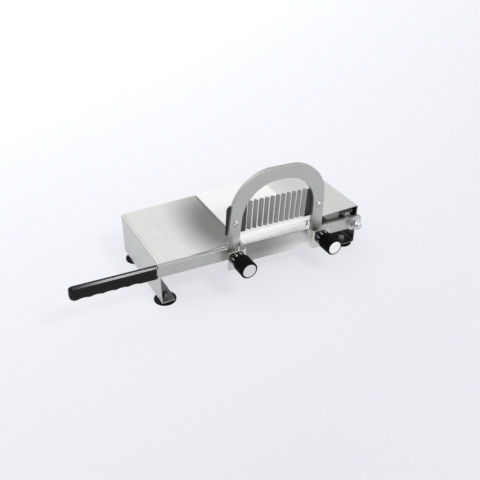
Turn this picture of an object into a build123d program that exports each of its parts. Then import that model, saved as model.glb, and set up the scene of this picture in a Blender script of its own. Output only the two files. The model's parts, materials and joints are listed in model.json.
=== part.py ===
from build123d import *
import os
from math import cos, pi, radians, tan

# French fry cutter: a steel bench with a cutting board and a hinged arm that carries a wave blade.
#
# The arm is one flat steel plate: a bar with an arch in it that straddles the nose of the cutting board.
# The blade is screwed behind the legs of the arch. In front of the legs hangs a thickness plate, carried by
# two knobs that turn on threaded studs: the further it is wound out, the thicker the cut.
#
# Directions: +X runs along the bench from the handle's end to the pivot's end, +Y from the front to the
# back, +Z up. The pieces are modelled from the bench's own corner: x = 0 at its left end, y = 0 at the
# deck's front edge, z = 0 on the table. At the end everything moves to the origin, which is on the table
# below the middle of the whole cutter. The arm's pieces are modelled level, with the pivot's axis as their
# x = 0 and z = 0, and are then lifted by the rest angle. All sizes are in millimetres.

os.makedirs("parts", exist_ok=True)

# ---------------------------------------------------------------------------- driving dimensions
# bench, folded from one sheet
BENCH_LENGTH = 340.0
BENCH_DEPTH = 148.0
BENCH_HEIGHT = 69.0            # from under its flanges to the top of the deck
SHEET = 1.5
FOLD_RADIUS = 2.0              # to the middle of the sheet
FLANGE_WIDTH = 22.0            # the two flanges turned in under the legs
FLANGE_CORNER = 4.0

# cutting board, lying in a trough of the deck, with a nose over the bench's front edge
BOARD_LEFT = 126.0             # from the bench's left end
BOARD_WIDTH = 116.5
BOARD_THICKNESS = 10.0
BOARD_PROUD = 2.0              # how far the board's top stands above the deck
BOARD_SIDE_GAP = 0.4           # from the board to each wall of the trough
NOSE_WIDTH = 114.5
NOSE_REACH = 5.5               # how far the nose stands out before the deck's front edge
NOSE_HEIGHT = 24.5
NOSE_ROUND = 5.0               # of its corners and of its upper edge
BACK_ROUND = 1.8               # of the board's rear edge
BOARD_SCREW_SPACING_X = 80.0
BOARD_SCREW_SPACING_Y = 100.0

# rubber feet
FOOT_HEIGHT = 6.5
FOOT_RIM_RADIUS = 16.5
FOOT_NECK_RADIUS = 9.5
FOOT_INSET_X = 12.0            # from the bench's ends to the feet's axes
FOOT_INSET_Y = 16.5            # from its front and back edges

# arm plate
ARM_THICKNESS = 6.0
ARM_GAP = 0.5                  # between the back of the arm and the deck's front edge
BAR_HEIGHT = 19.5
PIVOT_IN = 11.0                # from the bench's right end back to the pivot
PIVOT_Z = 43.1                 # above the underside of the flanges
BAR_TAIL = 15.0                # from the pivot to the bar's free end
REST_ANGLE = 3.3               # lift of the arm at rest, above its lowest place
NOSE_GAP_LEFT = 5.9            # from the board's nose to the left leg of the arch, at the bar's middle
NOSE_GAP_RIGHT = 7.4           # from the board's nose to its right leg
ARCH_LEAN = 3.2                # how far each leg leans inward on its way up, in degrees
ARCH_RISE = 125.4              # from the bar's middle to the top of the arch
ARCH_BAND = 18.6               # width of its legs
ARCH_TOP_BAND = 19.8
ARCH_CORNER = 63.0             # outer radius of the arch's two shoulders
WINDOW_CORNER = 55.0           # their inner radius
FOOT_ROUND = 2.5               # lower inner corners of the legs
PLATE_EDGE = 0.8               # rounding of the plate's front edges

# handle grip, pushed onto the bar's tang
GRIP_OUT = 5.0                 # from the bench's left end out to the near end of the grip
GRIP_LENGTH = 122.5
GRIP_HEIGHT = 22.0
GRIP_DROP = 1.2                # from the bar's middle down to the grip's
GRIP_THICKNESS = 8.5
GRIP_BEVEL = 2.4
GRIP_END_ROUND = 8.5           # lower corner of its far end
GRIP_TOP_ROUND = 4.8           # upper corner
FINGER_GROOVES = 5
FINGER_PITCH = 17.5
FINGER_START = 18.5            # from the grip's far end to the middle of the first groove
FINGER_DEPTH = 1.5
TANG_LENGTH = 80.0
TANG_HEIGHT = 12.0

# wave blade
BLADE_OVERHANG = 1.0           # how far the blade's left end stands out past the foot of its leg
BLADE_INSET = 4.0              # how far its right end stays short of the right leg's foot
BLADE_BOTTOM = 29.2            # from the bar's middle up to the cutting edge
BLADE_HEIGHT = 47.2
BLADE_THICKNESS = 1.0
BLADE_CORNER = 7.0
WAVES = 11
WAVE_PITCH = 9.2
WAVE_DEPTH = 4.0               # between the middle of the sheet in a crest and in a trough
WAVE_ROUND = 1.3
BEVEL_HEIGHT = 4.5             # ground edge
EDGE_THICKNESS = 0.2
BLADE_SCREW_RISE = 49.5        # from the bar's middle up to the blade's screws

# thickness plate and its knobs
PLATE_SHEET = 1.5
PLATE_RISE = 10.0              # from the bar's middle to the plate's top edge
PLATE_HEIGHT = 29.5
PLATE_GAP = 0.5                # between the arm's front and the plate's middle part, when wound in
PLATE_END_ROUND = 3.75
EAR_OUTSIDE = 14.5             # from a stud to the outer end of its ear
EAR_INSIDE = 14.0              # from a stud to the inner end of its ear
EAR_STEP = 10.0                # how far the ears stand before the plate's middle part
EAR_SLOPE = 1.5                # width of the slanted wall between ear and middle part
STUD_OFFSET = 1.7              # the studs sit this far to the right of the middles of the legs
STUD_RISE = -1.0               # from the bar's middle up to the studs' axes
STUD_RADIUS = 4.0
PLATE_TRAVEL = 8.0             # how far the knobs wind the plate out
THREAD_LEFT = 16.0             # thread that still holds when the plate is right out
SCALE_RADIUS = 11.5
SCALE_LENGTH = 11.0
KNOB_RADIUS = 13.0
KNOB_LENGTH = 24.0
FLUTES = 30
CAP_RADIUS = 10.3
CAP_DEPTH = 1.6
CAP_PROUD = 0.3
SLEEVE_RADIUS = 6.0
SLEEVE_BEHIND = 3.0            # how far the sleeve comes out behind the ear
RETAINER_THICKNESS = 1.0

# pivot and its bracket
PIVOT_RADIUS = 5.0
BUSH_WALL = 2.0
SPACER_RADIUS = 7.2
PIN_HEAD_RADIUS = 5.9          # where the pin is riveted over behind the bracket
PIN_HEAD_HEIGHT = 1.5
WASHER_RADIUS = 12.0
WASHER_THICKNESS = 2.0
BRACKET_SHEET = 3.0
BRACKET_FOLD = 2.0             # to the middle of the sheet
BRACKET_LENGTH = 64.0          # from the inner face of the right leg to its far upper corner
BRACKET_TALL = 35.5            # width of its high part, under the deck, along X
BRACKET_SET_BACK = 4.5         # how far the part round the pivot is set back
BRACKET_BELOW = 13.0           # from the pivot's axis down to its lower edge
BRACKET_ABOVE = 16.5           # from the pivot's axis up to the edge of its low part
BRACKET_RETURN = 26.0          # length of its flange along the leg
BOLT_IN = 7.0                  # from the pivot back to the bracket's bolt
BOLT_RISE = 11.4               # from the pivot up to that bolt
CLEAT_WIDTH = 22.0
CLEAT_REACH = 20.0             # how far the cleat runs back under the deck

# fits and clearances
RUNNING_GAP = 0.05             # radial, between a shaft and its hole
SEAT_GAP = 0.3                 # between pieces of different bodies that face each other
HOLE_GAP = 0.3                 # radial, round the shank of a screw

# fasteners: shank radius, head radius, head height, nut width across its flats, nut height, and the
# width and depth of the socket in the head
M5 = dict(shank=2.5, head=4.7, rise=3.0, flats=8.0, nut=4.0, key=3.0, deep=1.6)
M6 = dict(shank=3.0, head=5.8, rise=4.0, flats=10.0, nut=5.0)
M10 = dict(flats=16.0, nut=8.0)

# ---------------------------------------------------------------------------- places worked out
FLANGE_TOP = FOOT_HEIGHT + SHEET
DECK_TOP = FOOT_HEIGHT + BENCH_HEIGHT
DECK_UNDER = DECK_TOP - SHEET
BOARD_TOP = DECK_TOP + BOARD_PROUD
TROUGH_FLOOR = BOARD_TOP - BOARD_THICKNESS
BOARD_MIDDLE = BOARD_LEFT + BOARD_WIDTH / 2
LEG_INSIDE = BENCH_LENGTH - SHEET
PIVOT_X = BENCH_LENGTH - PIVOT_IN
AXIS_Z = FOOT_HEIGHT + PIVOT_Z
ARM_BACK = -ARM_GAP
ARM_FRONT = ARM_BACK - ARM_THICKNESS
ARM_MIDDLE = (ARM_FRONT + ARM_BACK) / 2
LEAN = tan(radians(ARCH_LEAN))
ARCH_WIDTH = NOSE_WIDTH + NOSE_GAP_LEFT + NOSE_GAP_RIGHT + 2 * ARCH_BAND
ARCH_RIGHT = PIVOT_X - BOARD_LEFT - NOSE_WIDTH - NOSE_GAP_RIGHT - ARCH_BAND
ARCH_MIDDLE = -ARCH_RIGHT - ARCH_WIDTH / 2
PLATE_BACK = ARM_FRONT - PLATE_GAP
EAR_BACK = PLATE_BACK - EAR_STEP
EAR_FRONT = EAR_BACK - PLATE_SHEET
KNOB_BACK = EAR_FRONT - SEAT_GAP
GRIP_BACK = KNOB_BACK - SCALE_LENGTH
GRIP_FACE = GRIP_BACK - KNOB_LENGTH
SLEEVE_BACK = EAR_BACK + SLEEVE_BEHIND
STUD_TIP = SLEEVE_BACK - PLATE_TRAVEL - THREAD_LEFT
STUD_OUT = (ARCH_WIDTH - ARCH_BAND) / 2
STUD_AXES = {
    "left": ARCH_MIDDLE + STUD_OFFSET - STUD_OUT,
    "right": ARCH_MIDDLE + STUD_OFFSET + STUD_OUT,
}
BLADE_SCREW_OUT = ARCH_WIDTH / 2 - ARCH_BAND / 2 - BLADE_SCREW_RISE * LEAN
BLADE_SCREWS = [ARCH_MIDDLE - BLADE_SCREW_OUT, ARCH_MIDDLE + BLADE_SCREW_OUT]
BRACKET_FRONT = 1.0
BRACKET_LOW_FRONT = BRACKET_FRONT + BRACKET_SET_BACK
BRACKET_LOW_BACK = BRACKET_LOW_FRONT + BRACKET_SHEET
GRIP_START = PIVOT_X + GRIP_OUT
BRACKET_BOLT = (PIVOT_X - BOLT_IN, AXIS_Z + BOLT_RISE)
FOOT_PLACES = {
    "front_left": (FOOT_INSET_X, FOOT_INSET_Y),
    "front_right": (BENCH_LENGTH - FOOT_INSET_X, FOOT_INSET_Y),
    "rear_left": (FOOT_INSET_X, BENCH_DEPTH - FOOT_INSET_Y),
    "rear_right": (BENCH_LENGTH - FOOT_INSET_X, BENCH_DEPTH - FOOT_INSET_Y),
}
BOARD_SCREWS = [
    (BOARD_MIDDLE + sx * BOARD_SCREW_SPACING_X / 2, BENCH_DEPTH / 2 + sy * BOARD_SCREW_SPACING_Y / 2)
    for sx in (-1, 1)
    for sy in (-1, 1)
]


# ---------------------------------------------------------------------------- ways of making a shape
def block(x0, x1, y0, y1, z0, z1):
    """A box between three pairs of coordinates."""
    return Pos((x0 + x1) / 2, (y0 + y1) / 2, (z0 + z1) / 2) * Box(x1 - x0, y1 - y0, z1 - z0)


def rect(x0, x1, z0, z1):
    """A flat rectangle between two pairs of coordinates."""
    return Pos((x0 + x1) / 2, (z0 + z1) / 2) * Rectangle(x1 - x0, z1 - z0)


def slab(sketch, y_front, y_back):
    """Stand a flat sketch up facing the front and give it its thickness between two depths."""
    return extrude(Pos(0, y_back, 0) * (Plane.XZ * sketch), amount=y_back - y_front)


def turned_y(points, x=0.0, z=0.0):
    """Turn a closed outline of (radius, y) points round an axis that runs along Y."""
    outline = make_face(Polyline(*points, close=True))
    return Pos(x, 0, z) * revolve(outline, Axis.Y)


def turned_z(points, x=0.0, y=0.0):
    """Turn a closed outline of (radius, z) points round an upright axis."""
    outline = make_face(Polyline(*points, close=True))
    return Pos(x, y, 0) * revolve(Plane.XZ * outline, Axis.Z)


def rod_y(radius, y0, y1, x=0.0, z=0.0):
    """A round bar along Y."""
    return turned_y([(0, y0), (radius, y0), (radius, y1), (0, y1)], x, z)


def ring_y(inner, outer, y0, y1, x=0.0, z=0.0):
    """A tube or washer along Y."""
    return turned_y([(inner, y0), (outer, y0), (outer, y1), (inner, y1)], x, z)


def rod_z(radius, z0, z1, x=0.0, y=0.0):
    """A round upright bar."""
    return turned_z([(0, z0), (radius, z0), (radius, z1), (0, z1)], x, y)


def hexagon(flats):
    """A flat hexagon, measured across its flats."""
    return RegularPolygon(flats / 2, 6, major_radius=False)


def hex_y(flats, y0, y1, x=0.0, z=0.0):
    """A hexagonal prism along Y with its outer corners turned down at both ends."""
    corner = flats / 2 / cos(pi / 6)
    cut = corner - flats / 2
    blank = turned_y([(0, y0), (flats / 2, y0), (corner, y0 + cut), (corner, y1 - cut), (flats / 2, y1), (0, y1)])
    return Pos(x, 0, z) * (slab(hexagon(flats), y0, y1) & blank)


def hex_z(flats, z0, z1, x=0.0, y=0.0):
    """A hexagonal prism along Z with its outer corners turned down at the top."""
    corner = flats / 2 / cos(pi / 6)
    cut = corner - flats / 2
    blank = turned_z([(0, z0), (corner, z0), (corner, z1 - cut), (flats / 2, z1), (0, z1)])
    return Pos(x, y, 0) * (extrude(Pos(0, 0, z0) * hexagon(flats), amount=z1 - z0) & blank)


def folded(path, thickness, radius):
    """The outline of a sheet that follows PATH, its middle line, with every corner folded to RADIUS."""
    middle = FilletPolyline(*path, radius=radius)
    left = middle.offset_2d(thickness / 2, side=Side.LEFT, closed=False)
    right = middle.offset_2d(thickness / 2, side=Side.RIGHT, closed=False)
    near, far = (0, 1) if (left @ 0 - right @ 0).length < 2 * thickness else (1, 0)
    ends = [Line(left @ 0, right @ near), Line(left @ 1, right @ far)]
    return make_face(left.edges() + right.edges() + ends)


# ---------------------------------------------------------------------------- bench and board
def make_bench():
    """One sheet, folded along lines that all run front to back, with its screw holes."""
    half = SHEET / 2
    low = FOOT_HEIGHT + half
    high = DECK_TOP - half
    floor = TROUGH_FLOOR - half
    wall_left = BOARD_LEFT - BOARD_SIDE_GAP - half
    wall_right = BOARD_LEFT + BOARD_WIDTH + BOARD_SIDE_GAP + half
    path = [
        (FLANGE_WIDTH, low), (half, low), (half, high), (wall_left, high), (wall_left, floor),
        (wall_right, floor), (wall_right, high), (BENCH_LENGTH - half, high), (BENCH_LENGTH - half, low),
        (BENCH_LENGTH - FLANGE_WIDTH, low),
    ]
    bench = slab(folded(path, SHEET, FOLD_RADIUS), 0, BENCH_DEPTH)
    flange_corners = [
        e for e in bench.edges().filter_by(Axis.Z)
        if e.center().Z < FLANGE_TOP and e.length < 2 * SHEET
    ]
    bench = fillet(flange_corners, FLANGE_CORNER)
    for x, y in FOOT_PLACES.values():
        bench -= rod_z(M5["shank"] + HOLE_GAP, 0, FLANGE_TOP + SHEET, x, y)
    for x, y in BOARD_SCREWS:
        bench -= rod_z(M5["shank"] + HOLE_GAP, TROUGH_FLOOR - 2 * SHEET, TROUGH_FLOOR + SHEET, x, y)
    for z in side_screw_heights():
        bench -= side_screw_hole(z)
    return bench


def make_board():
    """A plastic board with rounded edges and a deeper nose that hangs over the bench's front edge."""
    body = block(BOARD_LEFT, BOARD_LEFT + BOARD_WIDTH, 0, BENCH_DEPTH, TROUGH_FLOOR, BOARD_TOP)
    nose = block(BOARD_LEFT, BOARD_LEFT + NOSE_WIDTH, -NOSE_REACH, 0, BOARD_TOP - NOSE_HEIGHT, BOARD_TOP)
    nose = fillet(nose.edges().filter_by(Axis.Z).group_by(Axis.Y)[0], NOSE_ROUND)
    nose = fillet(nose.edges().group_by(Axis.Z)[-1].filter_by(lambda e: e.center().Y < -0.01), NOSE_ROUND * 0.9)
    under_edges = body.edges().filter_by(Axis.Y).group_by(Axis.Z)[0]
    body = chamfer(under_edges, FOLD_RADIUS)
    board = body + nose
    back_edge = board.edges().filter_by(Axis.X).group_by(Axis.Z)[-1].sort_by(Axis.Y)[-1]
    board = fillet(back_edge, BACK_ROUND)
    for x, y in BOARD_SCREWS:
        board -= rod_z(M5["shank"], TROUGH_FLOOR, TROUGH_FLOOR + BOARD_THICKNESS * 0.7, x, y)
    return board


def make_board_screws():
    """Four pan-head screws from below, through the trough's floor into the board."""
    under = TROUGH_FLOOR - SHEET
    return [
        turned_z(
            [
                (0, TROUGH_FLOOR + BOARD_THICKNESS * 0.65),
                (M5["shank"], TROUGH_FLOOR + BOARD_THICKNESS * 0.65),
                (M5["shank"], under), (M5["head"], under), (M5["head"], under - M5["rise"] * 0.5),
                (M5["head"] * 0.6, under - M5["rise"]), (0, under - M5["rise"]),
            ],
            x, y,
        )
        for x, y in BOARD_SCREWS
    ]


def make_foot(x, y):
    """A rubber sucker: a neck under the flange that flares to a thin rim, hollow underneath."""
    rim = 2.2
    outline = [
        (0, FOOT_HEIGHT), (FOOT_NECK_RADIUS, FOOT_HEIGHT), (FOOT_NECK_RADIUS + 0.5, FOOT_HEIGHT * 0.62),
        (FOOT_RIM_RADIUS - 0.8, rim), (FOOT_RIM_RADIUS, rim * 0.6), (FOOT_RIM_RADIUS, 0),
        (FOOT_RIM_RADIUS - 2.5, 0), (FOOT_NECK_RADIUS * 0.7, 1.6), (0, 2.0),
    ]
    foot = turned_z(outline, x, y)
    return foot - rod_z(M5["shank"], FOOT_HEIGHT * 0.5, FOOT_HEIGHT + 1, x, y)


def make_foot_studs():
    """A threaded stud in each foot, standing up through the flange."""
    top = FLANGE_TOP + M5["nut"] + 1.5
    return [rod_z(M5["shank"], FOOT_HEIGHT * 0.5, top, x, y) for x, y in FOOT_PLACES.values()]


def make_foot_nuts():
    """A nut on each stud, on top of the flange."""
    return [
        hex_z(M5["flats"], FLANGE_TOP, FLANGE_TOP + M5["nut"], x, y)
        - rod_z(M5["shank"], FLANGE_TOP - 1, FLANGE_TOP + M5["nut"] + 1, x, y)
        for x, y in FOOT_PLACES.values()
    ]


# ---------------------------------------------------------------------------- pivot and bracket
def side_screw_heights():
    """Heights of the two screws that hold the bracket's flange to the right leg."""
    return [AXIS_Z - BRACKET_BELOW + 7.0, AXIS_Z + BRACKET_ABOVE - 7.0]


def side_screw_y():
    """Depth of those two screws, in the middle of the bracket's flange."""
    return BRACKET_LOW_BACK + (BRACKET_RETURN - BRACKET_SHEET) / 2


def side_screw_hole(z):
    """A hole through the right leg for one of those screws."""
    hole = Cylinder(M5["shank"] + HOLE_GAP, 6 * SHEET)
    return Pos(BENCH_LENGTH, side_screw_y(), z) * Rot(0, 90, 0) * hole


def make_bracket():
    """A bent steel plate behind the arm's end: high under the deck, set back round the pivot."""
    half = BRACKET_SHEET / 2
    inner = LEG_INSIDE
    left = inner - BRACKET_LENGTH
    step = left + BRACKET_TALL - 6.0
    path = [
        (left, BRACKET_FRONT + half), (step, BRACKET_FRONT + half),
        (step + BRACKET_SET_BACK, BRACKET_LOW_FRONT + half), (inner - half, BRACKET_LOW_FRONT + half),
        (inner - half, BRACKET_LOW_FRONT + BRACKET_RETURN),
    ]
    low = AXIS_Z - BRACKET_BELOW
    shoulder = AXIS_Z + BRACKET_ABOVE
    slope = 11.0 / 13.0
    outline = Polyline(
        (left, DECK_UNDER), (left + BRACKET_TALL - 3.0, DECK_UNDER), (left + BRACKET_TALL, shoulder),
        (inner, shoulder), (inner, low), (left + (DECK_UNDER - low) * slope, low), close=True,
    )
    sheet = extrude(Pos(0, 0, low) * folded(path, BRACKET_SHEET, BRACKET_FOLD), amount=DECK_UNDER - low)
    bracket = sheet & slab(make_face(outline), -BENCH_DEPTH, BENCH_DEPTH)
    bracket -= rod_y(PIVOT_RADIUS + RUNNING_GAP, 0, BRACKET_RETURN, PIVOT_X, AXIS_Z)
    bracket -= rod_y(M6["shank"] + HOLE_GAP, 0, BRACKET_RETURN, *BRACKET_BOLT)
    for z in side_screw_heights():
        bracket -= side_screw_hole(z)
    return bracket


def make_cleat():
    """An angle under the deck that takes the bracket's bolt."""
    x, z = BRACKET_BOLT
    path = [
        (BRACKET_LOW_BACK + BRACKET_SHEET / 2, z - M6["shank"] - 2.0),
        (BRACKET_LOW_BACK + BRACKET_SHEET / 2, DECK_UNDER - BRACKET_SHEET / 2),
        (BRACKET_LOW_BACK + CLEAT_REACH, DECK_UNDER - BRACKET_SHEET / 2),
    ]
    side = folded(path, BRACKET_SHEET, BRACKET_FOLD)
    cleat = extrude(Pos(x - CLEAT_WIDTH / 2, 0, 0) * (Plane.YZ * side), amount=CLEAT_WIDTH)
    return cleat - rod_y(M6["shank"] + HOLE_GAP, 0, BRACKET_RETURN, x, z)


def make_bracket_bolt():
    """A hex bolt through bracket and cleat, with its head in the set-back part."""
    x, z = BRACKET_BOLT
    end = BRACKET_LOW_BACK + BRACKET_SHEET + M6["nut"] + 2.0
    head = hex_y(M6["flats"], BRACKET_LOW_FRONT - M6["rise"], BRACKET_LOW_FRONT, x, z)
    return head + rod_y(M6["shank"], BRACKET_LOW_FRONT, end, x, z)


def make_bracket_nut():
    """Its nut, behind the cleat."""
    x, z = BRACKET_BOLT
    start = BRACKET_LOW_BACK + BRACKET_SHEET
    nut = hex_y(M6["flats"], start, start + M6["nut"], x, z)
    return nut - rod_y(M6["shank"], start - 1, start + M6["nut"] + 1, x, z)


def make_side_screws():
    """Two pan-head screws through the right leg into the bracket's flange."""
    screws = []
    for z in side_screw_heights():
        outline = [
            (0, BRACKET_SHEET + 2 * SHEET), (M5["shank"], BRACKET_SHEET + 2 * SHEET), (M5["shank"], 0),
            (M5["head"], 0), (M5["head"], -M5["rise"] * 0.5), (M5["head"] * 0.6, -M5["rise"]), (0, -M5["rise"]),
        ]
        screws.append(Pos(BENCH_LENGTH, side_screw_y(), z) * Rot(0, -90, 0) * turned_z(outline))
    return screws


def make_side_nuts():
    """Their nuts, inside the bracket's flange."""
    nut = hex_z(M5["flats"], 0, M5["nut"]) - rod_z(M5["shank"], -1, M5["nut"] + 1)
    seat = LEG_INSIDE - BRACKET_SHEET
    return [Pos(seat, side_screw_y(), z) * Rot(0, -90, 0) * nut for z in side_screw_heights()]


def make_pivot_pin():
    """The arm's axle: a pin riveted over behind the bracket and threaded in front for the acorn nut."""
    front = ARM_FRONT - WASHER_THICKNESS - M10["nut"] - 2.0
    outline = [
        (0, front), (PIVOT_RADIUS, front), (PIVOT_RADIUS, BRACKET_LOW_BACK),
        (PIN_HEAD_RADIUS, BRACKET_LOW_BACK), (PIVOT_RADIUS, BRACKET_LOW_BACK + PIN_HEAD_HEIGHT),
        (0, BRACKET_LOW_BACK + PIN_HEAD_HEIGHT),
    ]
    return turned_y(outline, PIVOT_X, AXIS_Z)


def make_pivot_spacer():
    """A tube on the axle that holds the arm clear of the bracket."""
    hole = PIVOT_RADIUS + RUNNING_GAP
    return ring_y(hole, SPACER_RADIUS, ARM_BACK + 0.1, BRACKET_LOW_FRONT, PIVOT_X, AXIS_Z)


def washer_back():
    """Where the front washer starts, a hair before the arm."""
    return ARM_FRONT - 0.1


def make_pivot_washer():
    """The wide washer before the arm."""
    hole = PIVOT_RADIUS + RUNNING_GAP
    return ring_y(hole, WASHER_RADIUS, washer_back() - WASHER_THICKNESS, washer_back(), PIVOT_X, AXIS_Z)


def make_acorn_nut():
    """A domed nut on the axle's front end."""
    back = washer_back() - WASHER_THICKNESS
    front = back - M10["nut"]
    radius = M10["flats"] / 2 - 0.7
    dome = [
        CenterArc((0, front), radius, -90, 90), Line((radius, front), (radius, front + 1)),
        Line((radius, front + 1), (0, front + 1)), Line((0, front + 1), (0, front - radius)),
    ]
    nut = hex_y(M10["flats"], front, back) + revolve(make_face(dome), Axis.Y)
    return Pos(PIVOT_X, 0, AXIS_Z) * (nut - rod_y(PIVOT_RADIUS, front - 2.5, back + 1))


# ---------------------------------------------------------------------------- arm
def arm_place():
    """Where the level arm's pieces go: onto the pivot's axis, lifted by the rest angle."""
    return Pos(PIVOT_X, 0, AXIS_Z) * Rot(0, REST_ANGLE, 0)


def arch_outline(inset, low, top, corner):
    """A face that stays INSET inside the arch's leaning sides, from LOW up to TOP, with rounded shoulders."""
    foot = ARCH_WIDTH / 2 - inset - low * LEAN
    crown = ARCH_WIDTH / 2 - inset - top * LEAN
    corners = [(-foot, low), (foot, low), (crown, top), (-crown, top)]
    outline = Pos(ARCH_MIDDLE, 0) * make_face(Polyline(*corners, close=True))
    return fillet(outline.vertices().group_by(Axis.Y)[-1], corner)


def make_arm_frame():
    """The arm's plate: tang and bar, arch with an open foot, and the bar's end round the pivot."""
    half = BAR_HEIGHT / 2
    outer = arch_outline(0, -half, ARCH_RISE, ARCH_CORNER)
    inner = arch_outline(ARCH_BAND, -2 * half, ARCH_RISE - ARCH_TOP_BAND, WINDOW_CORNER)
    bar = rect(-GRIP_START, BAR_TAIL, -half, half)
    bar = fillet(bar.vertices().group_by(Axis.X)[-1], half / 2)
    tang = rect(-GRIP_START - TANG_LENGTH, -GRIP_START, -TANG_HEIGHT / 2, TANG_HEIGHT / 2)
    outline = outer + bar + tang - inner
    foot_corners = [
        v for v in outline.vertices()
        if v.Y < -half + 0.1 and abs(v.X - ARCH_MIDDLE) < ARCH_WIDTH / 2 - ARCH_BAND / 2
    ]
    outline = fillet(foot_corners, FOOT_ROUND)
    frame = slab(outline, ARM_FRONT, ARM_BACK)
    frame = fillet(frame.faces().sort_by(Axis.Y)[0].edges(), PLATE_EDGE)
    frame -= rod_y(PIVOT_RADIUS + BUSH_WALL, ARM_FRONT - 1, ARM_BACK + 1)
    for x in BLADE_SCREWS:
        frame -= rod_y(M5["shank"] + HOLE_GAP, ARM_FRONT - 1, ARM_BACK + 1, x, BLADE_SCREW_RISE)
    for x in STUD_AXES.values():
        frame -= rod_y(STUD_RADIUS, ARM_FRONT - 1, ARM_BACK + 1, x, STUD_RISE)
    return frame


def make_pivot_bush():
    """A plain bearing sleeve, pressed into the arm and turning on the axle."""
    return ring_y(PIVOT_RADIUS + RUNNING_GAP, PIVOT_RADIUS + BUSH_WALL, ARM_FRONT, ARM_BACK)


def make_handle_grip():
    """A moulded grip on the tang, bevelled all round, with shallow finger grooves underneath."""
    start, end = -GRIP_START, -GRIP_START - GRIP_LENGTH
    half = GRIP_HEIGHT / 2
    outline = rect(end, start, -half - GRIP_DROP, half - GRIP_DROP)
    outline = fillet(outline.vertices().group_by(Axis.X)[0].sort_by(Axis.Y)[0], GRIP_END_ROUND)
    outline = fillet(outline.vertices().group_by(Axis.X)[0].sort_by(Axis.Y)[-1], GRIP_TOP_ROUND)
    sink = FINGER_DEPTH
    radius = (FINGER_PITCH ** 2 / 4 + sink ** 2) / (2 * sink)
    for n in range(FINGER_GROOVES):
        x = end + FINGER_START + n * FINGER_PITCH
        outline -= Pos(x, -half - GRIP_DROP - radius + sink) * Circle(radius)
    y0, y1 = ARM_MIDDLE - GRIP_THICKNESS / 2, ARM_MIDDLE + GRIP_THICKNESS / 2
    grip = slab(outline, y0, y1)
    rims = grip.faces().filter_by(Axis.Y).edges()
    grip = chamfer(rims, GRIP_BEVEL)
    tang = block(start - TANG_LENGTH, start + 1, ARM_FRONT, ARM_BACK, -TANG_HEIGHT / 2, TANG_HEIGHT / 2)
    return grip - tang


def wave_path(x_start, x_end, y_flat):
    """The middle line of the waved sheet, seen from above: flat ends and a run of zigzag waves."""
    run = WAVES * WAVE_PITCH
    x = ARCH_MIDDLE - run / 2
    points = [(x_start, y_flat), (x, y_flat)]
    for n in range(WAVES):
        points.append((x + (n + 0.5) * WAVE_PITCH, y_flat + WAVE_DEPTH))
        if n < WAVES - 1:
            points.append((x + (n + 1) * WAVE_PITCH, y_flat))
    points += [(x + run, y_flat), (x_end, y_flat)]
    return points


def make_wave_blade():
    """A waved sheet with flat ends for its screws, ground to an edge along the bottom."""
    x0 = -ARCH_RIGHT - ARCH_WIDTH - BLADE_OVERHANG
    x1 = -ARCH_RIGHT - BLADE_INSET
    y_flat = ARM_BACK + BLADE_THICKNESS / 2
    path = wave_path(x0, x1, y_flat)
    body = folded(path, BLADE_THICKNESS, WAVE_ROUND)
    edge = folded(path, EDGE_THICKNESS, WAVE_ROUND)
    bevel_top = BLADE_BOTTOM + BEVEL_HEIGHT
    blade = extrude(Pos(0, 0, bevel_top) * body, amount=BLADE_HEIGHT - BEVEL_HEIGHT)
    bevel = loft([Pos(0, 0, BLADE_BOTTOM) * edge, Pos(0, 0, bevel_top) * body], ruled=True)
    blade += bevel
    top = BLADE_BOTTOM + BLADE_HEIGHT
    corners = [
        e for e in blade.edges().filter_by(Axis.Y)
        if abs(e.center().Z - top) < 0.01 and e.length < 2 * BLADE_THICKNESS
    ]
    blade = fillet(corners, BLADE_CORNER)
    for x in BLADE_SCREWS:
        blade -= rod_y(M5["shank"] + HOLE_GAP, ARM_BACK - 1, ARM_BACK + 9, x, BLADE_SCREW_RISE)
    return blade


def make_blade_screws():
    """Two domed screws through the legs of the arch and the blade."""
    end = ARM_BACK + BLADE_THICKNESS + M5["nut"] + 1.0
    outline = [
        (0, end), (M5["shank"], end), (M5["shank"], ARM_FRONT), (M5["head"], ARM_FRONT),
        (M5["head"], ARM_FRONT - M5["rise"] * 0.35), (M5["head"] * 0.8, ARM_FRONT - M5["rise"] * 0.75),
        (M5["head"] * 0.45, ARM_FRONT - M5["rise"]), (0, ARM_FRONT - M5["rise"]),
    ]
    face = ARM_FRONT - M5["rise"]
    socket = slab(hexagon(M5["key"]), face - 1, face + M5["deep"])
    return [turned_y(outline, x, BLADE_SCREW_RISE) - Pos(x, 0, BLADE_SCREW_RISE) * socket for x in BLADE_SCREWS]


def make_blade_nuts():
    """Their nuts, behind the blade."""
    start = ARM_BACK + BLADE_THICKNESS
    nuts = []
    for x in BLADE_SCREWS:
        nut = hex_y(M5["flats"], start, start + M5["nut"], x, BLADE_SCREW_RISE)
        nuts.append(nut - rod_y(M5["shank"], start - 1, start + M5["nut"] + 1, x, BLADE_SCREW_RISE))
    return nuts


def make_stud(side):
    """A threaded stud, fixed in the arm and standing out to the front."""
    return rod_y(STUD_RADIUS, STUD_TIP, ARM_BACK, STUD_AXES[side], STUD_RISE)


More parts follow.
